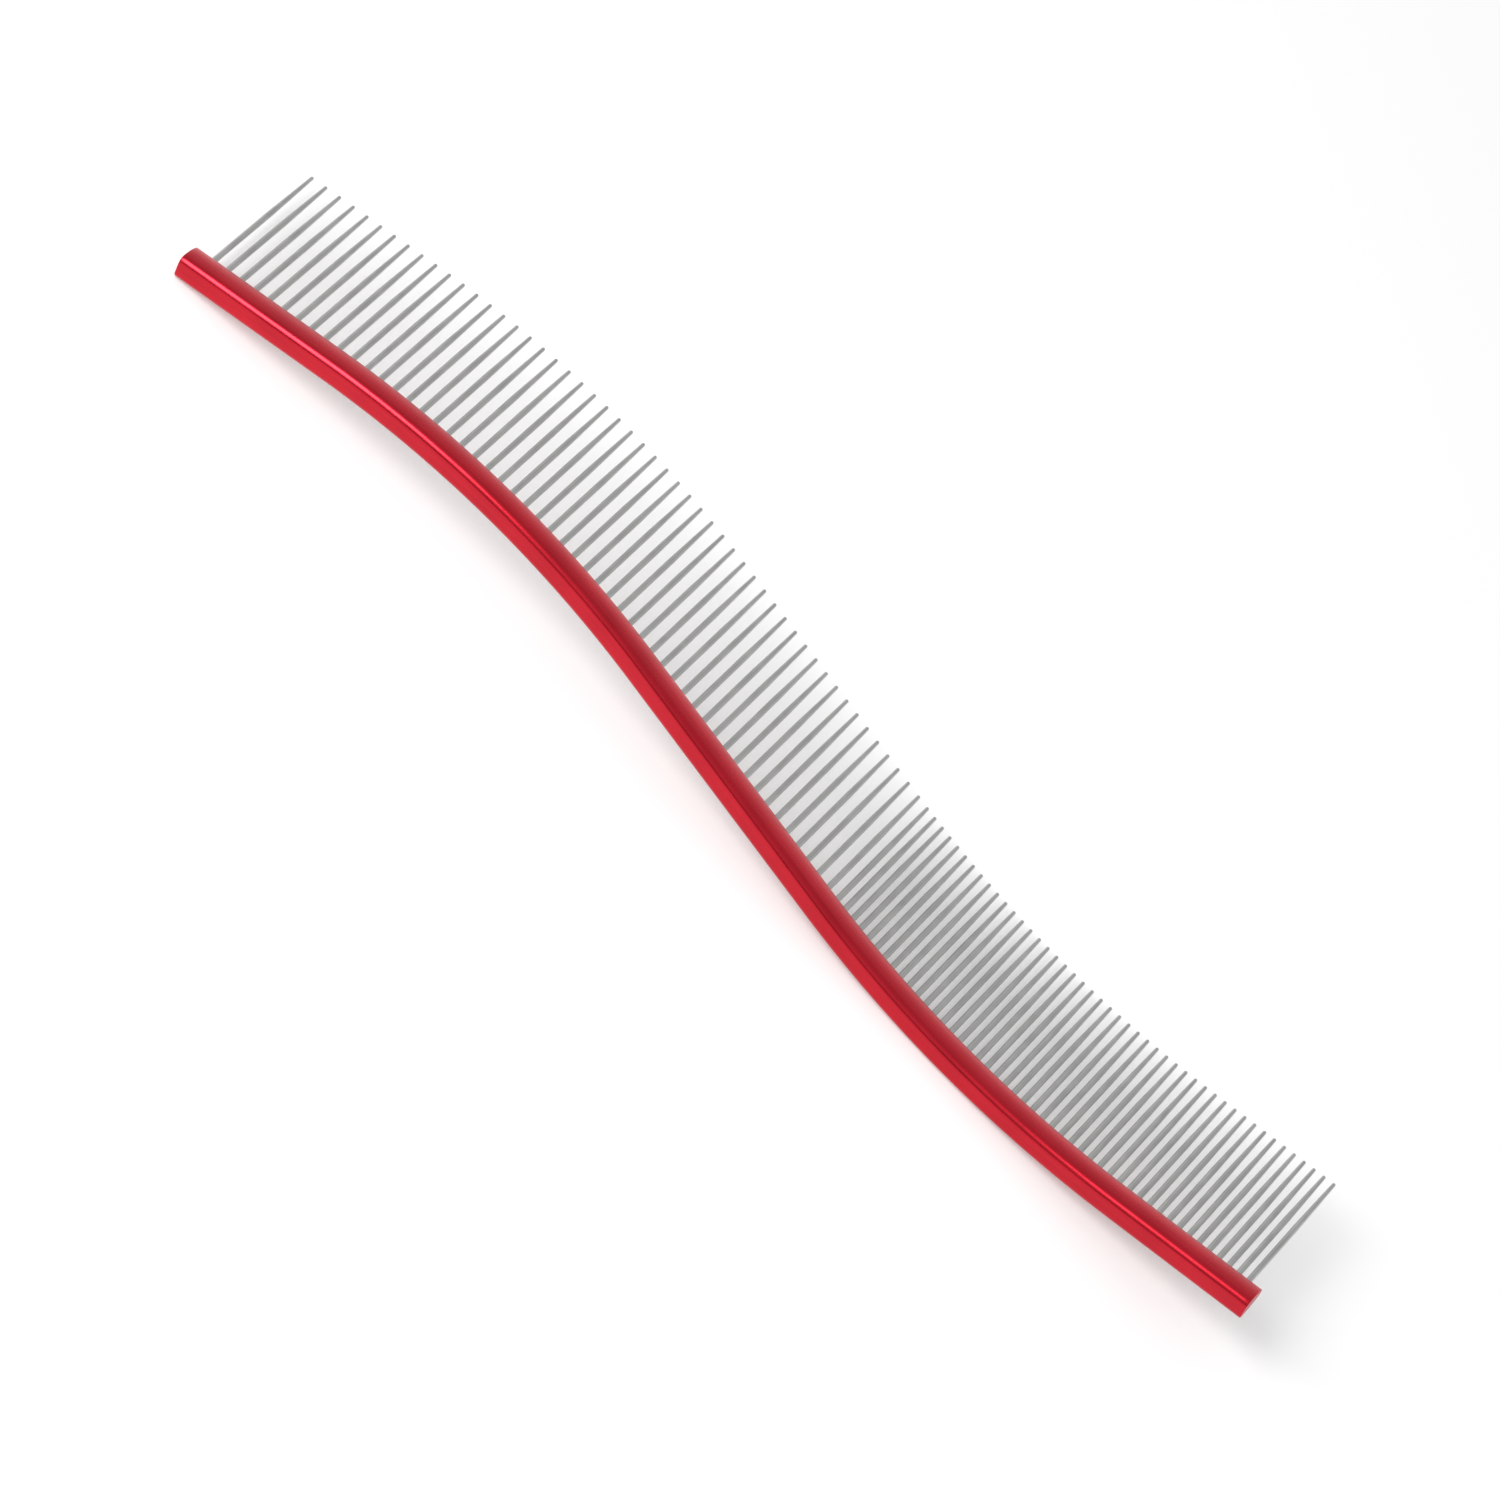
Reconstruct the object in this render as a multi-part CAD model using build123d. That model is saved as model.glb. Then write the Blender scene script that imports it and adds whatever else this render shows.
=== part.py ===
from build123d import *
import math
import os

os.makedirs("parts", exist_ok=True)

# Steel grooming comb: a wavy anodised spine with two fields of straight round pins pressed in.
# Millimetres. X runs along the comb from the coarse end to the fine end, +Y is the way the
# pins point, +Z is up. The comb lies on its side on the table z = 0, and the wave of the
# spine stands up from the table. The origin is under the middle of the overall box.

# Pins
coarse_count = 52
fine_count = 46
coarse_pitch = 2.9
fine_pitch = 2.08
pin_diameter = 1.1
pin_tip_diameter = 0.68
pin_exposed_length = 31.0
pin_taper_length = 13.5
pin_seat_depth = 4.5
pin_foot_chamfer = 0.12

# Sockets drilled in the spine
socket_clearance = 0.01
socket_floor_gap = 0.03

# Plain spine beyond the first and the last pin
coarse_end_margin = 3.3
fine_end_margin = 2.8

# Section of the spine: flat back, gently crowned sides, round nose on the pin side
spine_depth = 6.2
spine_thickness = 4.7
nose_radius = 1.6
back_corner_radius = 1.3

# Wave of the spine, measured along its middle line; the last straight takes what is left
coarse_straight = 30.4
crest_radius = 167.0
crest_bend = 24.85
middle_straight = 49.2
belly_radius = 177.0
belly_bend = 22.55

# Pins that share one sub-part
pins_per_node = 2

# Places of the pins along the spine, from the coarse end
field_gap = (coarse_pitch + fine_pitch) / 2
coarse_places = [coarse_end_margin + i * coarse_pitch for i in range(coarse_count)]
fine_places = [coarse_places[-1] + field_gap + i * fine_pitch for i in range(fine_count)]
spine_length = fine_places[-1] + fine_end_margin

crest_length = crest_radius * math.radians(crest_bend)
belly_length = belly_radius * math.radians(belly_bend)
fine_straight = spine_length - coarse_straight - crest_length - middle_straight - belly_length

# Each stretch of the wave: length, radius (0 for a straight), turn in degrees (+ turns upwards)
wave = [
    (coarse_straight, 0.0, 0.0),
    (crest_length, crest_radius, -crest_bend),
    (middle_straight, 0.0, 0.0),
    (belly_length, belly_radius, belly_bend),
    (fine_straight, 0.0, 0.0),
]


def step(point, heading, length, radius, turn):
    """The point and the heading after going the given length along one stretch."""
    x, z = point
    if radius == 0.0:
        angle = math.radians(heading)
        return (x + length * math.cos(angle), z + length * math.sin(angle)), heading
    side = math.copysign(1.0, turn)
    new_heading = heading + side * math.degrees(length / radius)
    before = math.radians(heading)
    after = math.radians(new_heading)
    x += side * radius * (math.sin(after) - math.sin(before))
    z -= side * radius * (math.cos(after) - math.cos(before))
    return (x, z), new_heading


def arc_centre(point, heading, radius, turn):
    """The middle of the circle that a bent stretch follows."""
    side = math.copysign(1.0, turn)
    angle = math.radians(heading)
    return (point[0] - side * radius * math.sin(angle), point[1] + side * radius * math.cos(angle))


def stretch_starts(start_point, start_heading):
    """The point and the heading at the start of each stretch, and those at the end of the last."""
    starts = [(start_point, start_heading)]
    for length, radius, turn in wave:
        starts.append(step(*starts[-1], length, radius, turn))
    return starts


def resting_heading():
    """The heading of the first straight when the coarse end and the belly both touch the table."""
    half = spine_thickness / 2
    starts = stretch_starts((0.0, half), 0.0)
    belly_start, belly_heading = starts[3]
    centre = arc_centre(belly_start, belly_heading, belly_radius, belly_bend)
    reach = math.hypot(centre[0], centre[1])
    line = math.atan2(centre[1], centre[0]) - math.asin((belly_radius + half) / reach)
    return -math.degrees(line)


def resting_start(heading):
    """The start of the middle line, with the overall box centred on x = 0 and sitting on z = 0."""
    half = spine_thickness / 2
    angle = math.radians(heading)
    starts = stretch_starts((0.0, half * math.cos(angle)), heading)
    end_point, end_heading = starts[-1]
    left = -half * abs(math.sin(angle))
    right = end_point[0] + half * abs(math.sin(math.radians(end_heading)))
    return (-(left + right) / 2, half * math.cos(angle))


start_heading = resting_heading()
start_point = resting_start(start_heading)
starts = stretch_starts(start_point, start_heading)

# The nose of the spine lies on y = nose_y, and the overall box is centred on y = 0
nose_y = (spine_depth - pin_exposed_length) / 2


def place_on_wave(distance):
    """The point of the middle line at a distance from the coarse end."""
    left = distance
    for (point, heading), (length, radius, turn) in zip(starts, wave):
        if left <= length:
            return step(point, heading, left, radius, turn)[0]
        left -= length
    return starts[-1][0]


def spine_section(point, heading):
    """The closed section of the spine, standing across the wave at one point."""
    half = spine_thickness / 2
    back_y = -spine_depth
    corner_y = back_y + back_corner_radius
    # the crowned side leaves the back corner level and runs tangent into the nose
    run = -nose_radius - corner_y
    side_radius = (run**2 + half**2 - nose_radius**2) / (2 * (half - nose_radius))
    reach = side_radius - nose_radius
    nose_start = (corner_y + side_radius * run / reach,
                  half - side_radius + side_radius * (side_radius - half) / reach)
    middle_angle = math.asin(run / reach) / 2
    side_middle = (corner_y + side_radius * math.sin(middle_angle),
                   half - side_radius + side_radius * math.cos(middle_angle))
    corner_middle = (corner_y - back_corner_radius * math.sin(math.pi / 4),
                     half - back_corner_radius * (1 - math.cos(math.pi / 4)))
    outline = [
        Line((back_y, back_corner_radius - half), (back_y, half - back_corner_radius)),
        ThreePointArc((back_y, half - back_corner_radius), corner_middle, (corner_y, half)),
        ThreePointArc((corner_y, half), side_middle, nose_start),
        ThreePointArc(nose_start, (0, 0), (nose_start[0], -nose_start[1])),
        ThreePointArc((nose_start[0], -nose_start[1]), (side_middle[0], -side_middle[1]),
                      (corner_y, -half)),
        ThreePointArc((corner_y, -half), (corner_middle[0], -corner_middle[1]),
                      (back_y, back_corner_radius - half)),
    ]
    angle = math.radians(heading)
    plane = Plane(origin=(point[0], nose_y, point[1]), x_dir=(0, 1, 0),
                  z_dir=(-math.cos(angle), 0, -math.sin(angle)))
    return plane * make_face(outline)


def spine_blank():
    """The wavy bar before it is drilled."""
    pieces = []
    for (point, heading), (length, radius, turn) in zip(starts, wave):
        section = spine_section(point, heading)
        angle = math.radians(heading)
        if radius == 0.0:
            pieces.append(extrude(section, length, dir=(math.cos(angle), 0, math.sin(angle))))
        else:
            centre = arc_centre(point, heading, radius, turn)
            axis = Axis((centre[0], 0, centre[1]), (0, -math.copysign(1.0, turn), 0))
            pieces.append(revolve(section, axis, abs(turn)))
    bar = pieces[0]
    for piece in pieces[1:]:
        bar = bar + piece
    return bar


def spine():
    """The bar with one blind socket for each pin."""
    depth = pin_seat_depth + socket_floor_gap
    mouth = nose_radius
    radius = (pin_diameter + socket_clearance) / 2
    drills = []
    for distance in coarse_places + fine_places:
        x, z = place_on_wave(distance)
        drill = Cylinder(radius, depth + mouth, align=(Align.CENTER, Align.CENTER, Align.MIN))
        drills.append(Pos(x, nose_y + mouth, z) * Rot(90, 0, 0) * drill)
    return spine_blank() - drills


def pin():
    """One pin along +Y with its foot in the socket and the nose of the spine at y = 0."""
    radius = pin_diameter / 2
    tip = pin_tip_diameter / 2
    foot_y = -pin_seat_depth
    dome_y = pin_exposed_length - tip
    taper_y = pin_exposed_length - pin_taper_length
    dome_middle = (tip * math.sin(math.pi / 4), dome_y + tip * math.cos(math.pi / 4))
    outline = [
        Line((0, foot_y), (radius - pin_foot_chamfer, foot_y)),
        Line((radius - pin_foot_chamfer, foot_y), (radius, foot_y + pin_foot_chamfer)),
        Line((radius, foot_y + pin_foot_chamfer), (radius, taper_y)),
        Line((radius, taper_y), (tip, dome_y)),
        ThreePointArc((tip, dome_y), dome_middle, (0, pin_exposed_length)),
        Line((0, pin_exposed_length), (0, foot_y)),
    ]
    return revolve(make_face(outline), Axis.Y, 360)


def pin_groups(name, places):
    """Write the pins of one field, a few neighbours to each sub-part."""
    blank = pin()
    for first in range(0, len(places), pins_per_node):
        group = []
        for distance in places[first:first + pins_per_node]:
            x, z = place_on_wave(distance)
            group.append(Pos(x, nose_y, z) * blank)
        label = f"{name}_pins_{first // pins_per_node + 1:02d}"
        export_step(Compound(group), f"parts/{label}.step")


export_step(spine(), "parts/spine.step")
pin_groups("coarse", coarse_places)
pin_groups("fine", fine_places)
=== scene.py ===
import math

import bmesh
import bpy
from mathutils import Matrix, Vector


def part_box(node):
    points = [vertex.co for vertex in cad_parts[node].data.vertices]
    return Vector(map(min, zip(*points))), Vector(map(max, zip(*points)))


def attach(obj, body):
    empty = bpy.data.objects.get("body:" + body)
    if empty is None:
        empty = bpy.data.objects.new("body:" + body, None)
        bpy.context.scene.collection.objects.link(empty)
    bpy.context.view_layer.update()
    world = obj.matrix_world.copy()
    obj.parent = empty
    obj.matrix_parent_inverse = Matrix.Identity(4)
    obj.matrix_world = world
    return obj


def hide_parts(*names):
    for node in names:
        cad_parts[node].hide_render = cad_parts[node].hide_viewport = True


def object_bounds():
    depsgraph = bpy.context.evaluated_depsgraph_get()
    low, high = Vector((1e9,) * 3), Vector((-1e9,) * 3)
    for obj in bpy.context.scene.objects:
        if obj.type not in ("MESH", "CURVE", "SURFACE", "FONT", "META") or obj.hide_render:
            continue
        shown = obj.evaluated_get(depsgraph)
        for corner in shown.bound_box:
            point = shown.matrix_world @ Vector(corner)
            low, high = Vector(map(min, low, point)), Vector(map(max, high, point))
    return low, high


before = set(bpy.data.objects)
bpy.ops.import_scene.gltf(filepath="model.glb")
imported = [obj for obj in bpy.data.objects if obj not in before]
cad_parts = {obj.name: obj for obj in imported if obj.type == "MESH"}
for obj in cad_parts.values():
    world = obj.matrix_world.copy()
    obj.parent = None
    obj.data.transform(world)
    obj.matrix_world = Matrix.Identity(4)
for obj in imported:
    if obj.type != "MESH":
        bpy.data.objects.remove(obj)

cad_low, cad_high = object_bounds()

MM = 0.001

# Sizes of the comb in millimetres, the same as in the CAD source
COARSE_COUNT = 52
FINE_COUNT = 46
COARSE_PITCH = 2.9
FINE_PITCH = 2.08
COARSE_END_MARGIN = 3.3
FINE_END_MARGIN = 2.8
SPINE_DEPTH = 6.2
SPINE_THICKNESS = 4.7
NOSE_RADIUS = 1.6
CORNER_RADIUS = 1.3
COARSE_STRAIGHT = 30.4
CREST_RADIUS = 167.0
CREST_BEND = 24.85
MIDDLE_STRAIGHT = 49.2
BELLY_RADIUS = 177.0
BELLY_BEND = 22.55

# The broken edge round each cut end of the spine, in millimetres
END_BREAK = 0.14

# How finely the skin of the spine is divided: round its section, round an end's edge, and along it
BACK_STEPS = 7
CORNER_STEPS = 8
SIDE_STEPS = 14
NOSE_STEPS = 14
END_STEPS = 4
LENGTH_STEPS = 260

# Stretches of the wave as (length, radius, turn in degrees); after them the spine runs on straight
WAVE = [
    (COARSE_STRAIGHT, 0.0, 0.0),
    (CREST_RADIUS * math.radians(CREST_BEND), CREST_RADIUS, -CREST_BEND),
    (MIDDLE_STRAIGHT, 0.0, 0.0),
    (BELLY_RADIUS * math.radians(BELLY_BEND), BELLY_RADIUS, BELLY_BEND),
]
COARSE_FIELD = (COARSE_COUNT - 1) * COARSE_PITCH
FINE_FIELD = (FINE_COUNT - 1) * FINE_PITCH
FIELD_GAP = (COARSE_PITCH + FINE_PITCH) / 2
SPINE_LENGTH = COARSE_END_MARGIN + COARSE_FIELD + FIELD_GAP + FINE_FIELD + FINE_END_MARGIN

# Floor and key light, in metres and watts; the glow is what the camera sees added to the floor
FLOOR_REACH = 6.0
FLOOR_GAP = 0.00005
FLOOR_GREY = 0.80
FLOOR_GLOW = 0.22
KEY_PLACE = (-0.52, -0.60, 0.70)
KEY_AIM = (-0.09, 0.0, 0.0)
KEY_SIZE = 0.55
KEY_WATTS = 8.5

# Camera: place in metres, turn in degrees, lens and sensor in millimetres
CAMERA_PLACE = (-0.00962, -1.15624, 1.1546)
CAMERA_TURN = (34.64601, -30.90409, 36.134)
CAMERA_LENS = 234.717
CAMERA_SENSOR = 36.0


# ---------------------------------------------------------------- the spine

def step(point, heading, length, radius, turn):
    """The point and the heading after going the given length along one stretch of the wave."""
    x, z = point
    before = math.radians(heading)
    if radius == 0.0:
        return (x + length * math.cos(before), z + length * math.sin(before)), heading
    side = math.copysign(1.0, turn)
    after = before + side * length / radius
    x += side * radius * (math.sin(after) - math.sin(before))
    z -= side * radius * (math.cos(after) - math.cos(before))
    return (x, z), math.degrees(after)


def on_wave(start, heading, distance):
    """The point and the heading of the middle line at a distance from the coarse end."""
    point = start
    left = distance
    for length, radius, turn in WAVE:
        if left <= length:
            return step(point, heading, left, radius, turn)
        point, heading = step(point, heading, length, radius, turn)
        left -= length
    return step(point, heading, left, 0.0, 0.0)


def resting_heading():
    """The heading of the first straight, with the coarse end and the trough both on the floor."""
    half = SPINE_THICKNESS / 2
    point, heading = (0.0, half), 0.0
    for length, radius, turn in WAVE[:3]:
        point, heading = step(point, heading, length, radius, turn)
    angle = math.radians(heading)
    centre = (point[0] - BELLY_RADIUS * math.sin(angle), point[1] + BELLY_RADIUS * math.cos(angle))
    reach = math.hypot(*centre)
    line = math.atan2(centre[1], centre[0]) - math.asin((BELLY_RADIUS + half) / reach)
    return -math.degrees(line)


def section_outline():
    """Closed outline of the section as (depth from the nose, height, outward direction)."""
    half = SPINE_THICKNESS / 2
    corner = -SPINE_DEPTH + CORNER_RADIUS
    run = -NOSE_RADIUS - corner
    side = (run**2 + half**2 - NOSE_RADIUS**2) / (2 * (half - NOSE_RADIUS))
    lean = math.asin(run / (side - NOSE_RADIUS))
    upper = []
    for i in range(BACK_STEPS):
        upper.append((-SPINE_DEPTH, (half - CORNER_RADIUS) * i / BACK_STEPS, math.pi))
    for i in range(CORNER_STEPS + 1):
        a = math.pi / 2 * (1 - i / CORNER_STEPS)
        y = corner - CORNER_RADIUS * math.sin(a)
        n = half - CORNER_RADIUS + CORNER_RADIUS * math.cos(a)
        upper.append((y, n, math.pi / 2 + a))
    for i in range(1, SIDE_STEPS + 1):
        a = lean * i / SIDE_STEPS
        upper.append((corner + side * math.sin(a), half - side + side * math.cos(a), math.pi / 2 - a))
    for i in range(1, NOSE_STEPS + 1):
        a = (math.pi / 2 - lean) * (1 - i / NOSE_STEPS)
        upper.append((-NOSE_RADIUS + NOSE_RADIUS * math.cos(a), NOSE_RADIUS * math.sin(a), a))
    lower = [(y, -n, -a) for y, n, a in reversed(upper[1:-1])]
    return upper + lower


def section_stations():
    """Where the section stands, as (distance along the spine, how far it is drawn in there)."""
    near = []
    for i in range(END_STEPS + 1):
        a = math.pi / 2 * i / END_STEPS
        near.append((END_BREAK * (1 - math.cos(a)), END_BREAK * (1 - math.sin(a))))
    plain = SPINE_LENGTH - 2 * END_BREAK
    middle = [(END_BREAK + plain * i / LENGTH_STEPS, 0.0) for i in range(1, LENGTH_STEPS)]
    far = [(SPINE_LENGTH - distance, inset) for distance, inset in reversed(near)]
    return near + middle + far


def build_spine():
    """The spine as one smooth swept skin, with its two cut ends lightly broken at the edge."""
    half = SPINE_THICKNESS / 2
    heading = resting_heading()
    start = (cad_low.x / MM + half * math.sin(math.radians(heading)),
             cad_low.z / MM + half * math.cos(math.radians(heading)))
    nose_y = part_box("spine")[1].y / MM
    outline = section_outline()
    around = [0.0]
    for (y0, n0, _), (y1, n1, _) in zip(outline, outline[1:] + outline[:1]):
        around.append(around[-1] + math.hypot(y1 - y0, n1 - n0))

    stations = section_stations()

    bm = bmesh.new()
    uv = bm.loops.layers.uv.new("along")
    loops = []
    for distance, inset in stations:
        (x, z), turn = on_wave(start, heading, distance)
        a = math.radians(turn)
        ring = []
        for y, n, out in outline:
            y -= inset * math.cos(out)
            n -= inset * math.sin(out)
            place = Vector((x - n * math.sin(a), nose_y + y, z + n * math.cos(a)))
            ring.append(bm.verts.new(place * MM))
        loops.append(ring)
    count = len(outline)
    for i in range(len(loops) - 1):
        for j in range(count):
            k = (j + 1) % count
            face = bm.faces.new((loops[i][j], loops[i + 1][j], loops[i + 1][k], loops[i][k]))
            face.smooth = True
            u0, u1 = stations[i][0] * MM, stations[i + 1][0] * MM
            v0, v1 = around[j] * MM, around[j + 1] * MM
            for loop, place in zip(face.loops, ((u0, v0), (u1, v0), (u1, v1), (u0, v1))):
                loop[uv].uv = place
    for ring in (loops[0], loops[-1]):
        bm.faces.new(ring).material_index = 1
    bmesh.ops.recalc_face_normals(bm, faces=bm.faces)
    mesh = bpy.data.meshes.new("wavy_spine")
    bm.to_mesh(mesh)
    bm.free()
    return bpy.data.objects.new("wavy_spine", mesh)


# ---------------------------------------------------------------- materials

def new_material(name):
    """A material with one Principled shader; its material, node tree and shader."""
    mat = bpy.data.materials.new(name)
    mat.use_nodes = True
    tree = mat.node_tree
    tree.nodes.clear()
    out = tree.nodes.new("ShaderNodeOutputMaterial")
    shader = tree.nodes.new("ShaderNodeBsdfPrincipled")
    tree.links.new(shader.outputs["BSDF"], out.inputs["Surface"])
    return mat, tree, shader


def noise(tree, vector, scale, detail=2.0, roughness=0.5):
    """Noise between 0 and 1 over the given coordinates."""
    node = tree.nodes.new("ShaderNodeTexNoise")
    node.inputs["Scale"].default_value = scale
    node.inputs["Detail"].default_value = detail
    node.inputs["Roughness"].default_value = roughness
    tree.links.new(vector, node.inputs["Vector"])
    return node.outputs["Fac"]


def stretched(tree, source, scale):
    """Coordinates multiplied by a scale of their own along each axis."""
    node = tree.nodes.new("ShaderNodeMapping")
    node.inputs["Scale"].default_value = scale
    tree.links.new(source, node.inputs["Vector"])
    return node.outputs["Vector"]


def spread(tree, value, low, high, low_out, high_out):
    """The value carried from one range to another, and held at its ends."""
    node = tree.nodes.new("ShaderNodeMapRange")
    node.inputs["From Min"].default_value = low
    node.inputs["From Max"].default_value = high
    node.inputs["To Min"].default_value = low_out
    node.inputs["To Max"].default_value = high_out
    tree.links.new(value, node.inputs["Value"])
    return node.outputs["Result"]


def mix_colour(tree, factor, one, two):
    """A colour between two others."""
    node = tree.nodes.new("ShaderNodeMix")
    node.data_type = "RGBA"
    tree.links.new(factor, node.inputs["Factor"])
    ends = [socket for socket in node.inputs if socket.type == "RGBA"]
    ends[0].default_value = (*one, 1.0)
    ends[1].default_value = (*two, 1.0)
    return [socket for socket in node.outputs if socket.type == "RGBA"][0]


def math_node(tree, operation, one, two):
    """One sum on two values, each a number or a node's output."""
    node = tree.nodes.new("ShaderNodeMath")
    node.operation = operation
    for i, value in enumerate((one, two)):
        if isinstance(value, (int, float)):
            node.inputs[i].default_value = value
        else:
            tree.links.new(value, node.inputs[i])
    return node.outputs["Value"]


def bump(tree, height, distance, strength, under=None):
    """A normal bumped by a height, on top of another normal if one is given."""
    node = tree.nodes.new("ShaderNodeBump")
    node.inputs["Strength"].default_value = strength
    node.inputs["Distance"].default_value = distance
    tree.links.new(height, node.inputs["Height"])
    if under is not None:
        tree.links.new(under, node.inputs["Normal"])
    return node.outputs["Normal"]


def anodised_red():
    """Satin red anodising over fine lengthwise extrusion lines."""
    mat, tree, shader = new_material("anodised_red")
    place = tree.nodes.new("ShaderNodeUVMap")
    place.uv_map = "along"
    lines = noise(tree, stretched(tree, place.outputs["UV"], (60, 9000, 1)), 1.0, 3.0, 0.6)
    broad = noise(tree, stretched(tree, place.outputs["UV"], (25, 900, 1)), 1.0, 2.0)
    solid = tree.nodes.new("ShaderNodeTexCoord").outputs["Object"]
    grain = noise(tree, solid, 9000, 2.0)
    cloud = noise(tree, solid, 120, 3.0)
    tone = spread(tree, math_node(tree, "ADD", broad, cloud), 0.7, 1.3, 0.0, 1.0)
    colour = mix_colour(tree, tone, (0.50, 0.008, 0.021), (0.60, 0.011, 0.027))
    tree.links.new(colour, shader.inputs["Base Color"])
    rough = spread(tree, math_node(tree, "ADD", lines, grain), 0.6, 1.4, 0.24, 0.34)
    tree.links.new(rough, shader.inputs["Roughness"])
    shader.inputs["Metallic"].default_value = 1.0
    shader.inputs["Coat Weight"].default_value = 0.3
    shader.inputs["Coat Roughness"].default_value = 0.25
    first = bump(tree, lines, 0.000008, 0.5)
    normal = bump(tree, grain, 0.000006, 0.5, first)
    tree.links.new(normal, shader.inputs["Normal"])
    return mat


def cut_end():
    """The sawn and anodised end of the spine, with fine straight saw marks."""
    mat, tree, shader = new_material("cut_end")
    solid = tree.nodes.new("ShaderNodeTexCoord").outputs["Object"]
    marks = noise(tree, stretched(tree, solid, (400, 400, 6000)), 1.0, 3.0, 0.6)
    colour = mix_colour(tree, marks, (0.42, 0.02, 0.035), (0.62, 0.16, 0.18))
    tree.links.new(colour, shader.inputs["Base Color"])
    tree.links.new(spread(tree, marks, 0.3, 0.7, 0.35, 0.55), shader.inputs["Roughness"])
    shader.inputs["Metallic"].default_value = 1.0
    tree.links.new(bump(tree, marks, 0.00001, 0.6), shader.inputs["Normal"])
    return mat


def satin_steel():
    """Drawn stainless wire: fine lines along each pin and a slightly uneven polish."""
    mat, tree, shader = new_material("satin_steel")
    solid = tree.nodes.new("ShaderNodeTexCoord").outputs["Object"]
    drawn = noise(tree, stretched(tree, solid, (7000, 90, 7000)), 1.0, 3.0, 0.6)
    cloud = noise(tree, solid, 260, 3.0)
    tone = spread(tree, math_node(tree, "ADD", drawn, cloud), 0.7, 1.3, 0.0, 1.0)
    colour = mix_colour(tree, tone, (0.42, 0.42, 0.415), (0.54, 0.54, 0.53))
    tree.links.new(colour, shader.inputs["Base Color"])
    rough = spread(tree, tone, 0.0, 1.0, 0.30, 0.42)
    tree.links.new(rough, shader.inputs["Roughness"])
    shader.inputs["Metallic"].default_value = 1.0
    tree.links.new(bump(tree, drawn, 0.000006, 0.5), shader.inputs["Normal"])
    return mat


def floor_material():
    """White paper: lit like any white floor, and lifted to plain white for the camera."""
    mat = bpy.data.materials.new("white_paper")
    mat.use_nodes = True
    tree = mat.node_tree
    tree.nodes.clear()
    out = tree.nodes.new("ShaderNodeOutputMaterial")
    paper = tree.nodes.new("ShaderNodeBsdfDiffuse")
    paper.inputs["Color"].default_value = (FLOOR_GREY, FLOOR_GREY, FLOOR_GREY, 1.0)
    glow = tree.nodes.new("ShaderNodeEmission")
    glow.inputs["Color"].default_value = (1.0, 1.0, 1.0, 1.0)
    path = tree.nodes.new("ShaderNodeLightPath")
    seen = math_node(tree, "MAXIMUM", path.outputs["Is Camera Ray"], path.outputs["Is Glossy Ray"])
    seen = math_node(tree, "MAXIMUM", seen, path.outputs["Is Transmission Ray"])
    tree.links.new(math_node(tree, "MULTIPLY", seen, FLOOR_GLOW), glow.inputs["Strength"])
    add = tree.nodes.new("ShaderNodeAddShader")
    tree.links.new(paper.outputs["BSDF"], add.inputs[0])
    tree.links.new(glow.outputs["Emission"], add.inputs[1])
    tree.links.new(add.outputs["Shader"], out.inputs["Surface"])
    return mat


# ---------------------------------------------------------------- stage

def build_floor():
    """A plain white floor just under the comb."""
    mesh = bpy.data.meshes.new("floor")
    level = cad_low.z - FLOOR_GAP
    sides = ((-1, -1), (1, -1), (1, 1), (-1, 1))
    corners = [(x * FLOOR_REACH, y * FLOOR_REACH, level) for x, y in sides]
    mesh.from_pydata(corners, [], [(0, 1, 2, 3)])
    floor = bpy.data.objects.new("floor", mesh)
    bpy.context.scene.collection.objects.link(floor)
    mesh.materials.append(floor_material())


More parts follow.
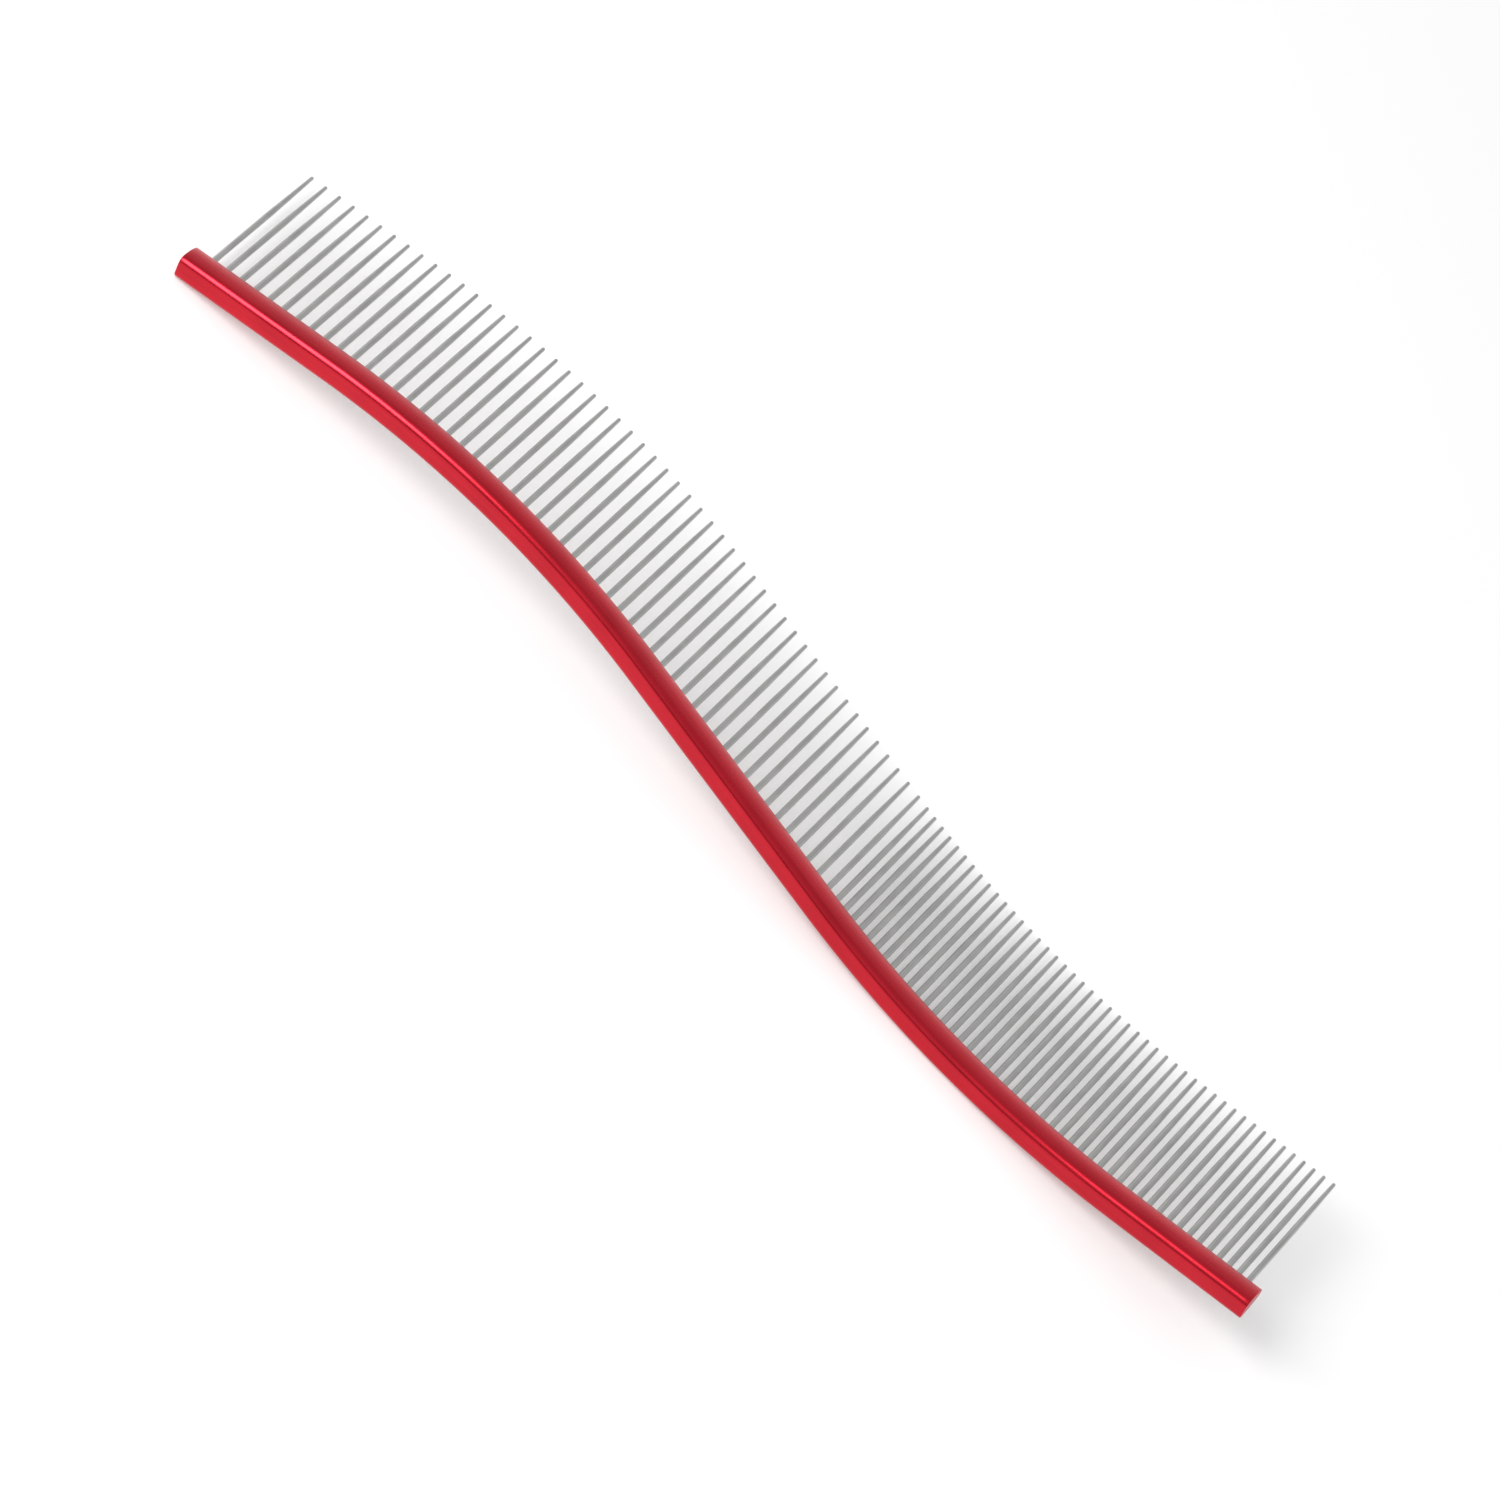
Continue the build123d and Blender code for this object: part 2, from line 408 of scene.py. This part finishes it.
def build_studio():
    """A pale room, brightest at the horizon, with a dark patch low down in front of the comb."""
    world = bpy.data.worlds.new("studio")
    bpy.context.scene.world = world
    world.use_nodes = True
    tree = world.node_tree
    tree.nodes.clear()
    out = tree.nodes.new("ShaderNodeOutputWorld")
    sky = tree.nodes.new("ShaderNodeBackground")
    sky.inputs["Color"].default_value = (1.0, 1.0, 1.0, 1.0)
    place = tree.nodes.new("ShaderNodeTexCoord")
    axes = tree.nodes.new("ShaderNodeSeparateXYZ")
    tree.links.new(place.outputs["Generated"], axes.inputs["Vector"])
    wall = spread(tree, axes.outputs["Z"], 0.05, 0.75, 0.95, 0.58)
    behind = spread(tree, axes.outputs["Y"], -0.85, -0.45, 0.10, 1.0)
    low = spread(tree, axes.outputs["Z"], 0.15, 0.40, 0.0, 1.0)
    room = math_node(tree, "MULTIPLY", wall, math_node(tree, "MAXIMUM", behind, low))
    path = tree.nodes.new("ShaderNodeLightPath")
    strength = math_node(tree, "MAXIMUM", room, path.outputs["Is Camera Ray"])
    tree.links.new(strength, sky.inputs["Strength"])
    tree.links.new(sky.outputs["Background"], out.inputs["Surface"])


def build_key_light():
    """A square softbox in front of the comb, above it and towards its coarse end."""
    data = bpy.data.lights.new("key_softbox", "AREA")
    data.shape = "SQUARE"
    data.size = KEY_SIZE
    data.energy = KEY_WATTS
    lamp = bpy.data.objects.new("key_softbox", data)
    bpy.context.scene.collection.objects.link(lamp)
    lamp.location = KEY_PLACE
    lamp.rotation_mode = "QUATERNION"
    lamp.rotation_quaternion = (Vector(KEY_AIM) - Vector(KEY_PLACE)).to_track_quat("-Z", "Y")


def build_camera():
    """A long lens looking down at the comb, turned so that the comb runs across the picture."""
    data = bpy.data.cameras.new("camera")
    data.sensor_width = CAMERA_SENSOR
    data.lens = CAMERA_LENS
    camera = bpy.data.objects.new("camera", data)
    bpy.context.scene.collection.objects.link(camera)
    camera.location = CAMERA_PLACE
    camera.rotation_mode = "XYZ"
    camera.rotation_euler = [math.radians(angle) for angle in CAMERA_TURN]
    data.clip_start = 0.05
    data.clip_end = 50.0
    bpy.context.scene.camera = camera


build_camera()
build_floor()
build_studio()
build_key_light()

spine = build_spine()
bpy.context.scene.collection.objects.link(spine)
spine.data.materials.append(anodised_red())
spine.data.materials.append(cut_end())
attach(spine, "root")
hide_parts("spine")

steel = satin_steel()
for name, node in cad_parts.items():
    if name != "spine":
        node.data.materials.clear()
        node.data.materials.append(steel)

view = bpy.context.scene.view_settings
view.view_transform = "Standard"
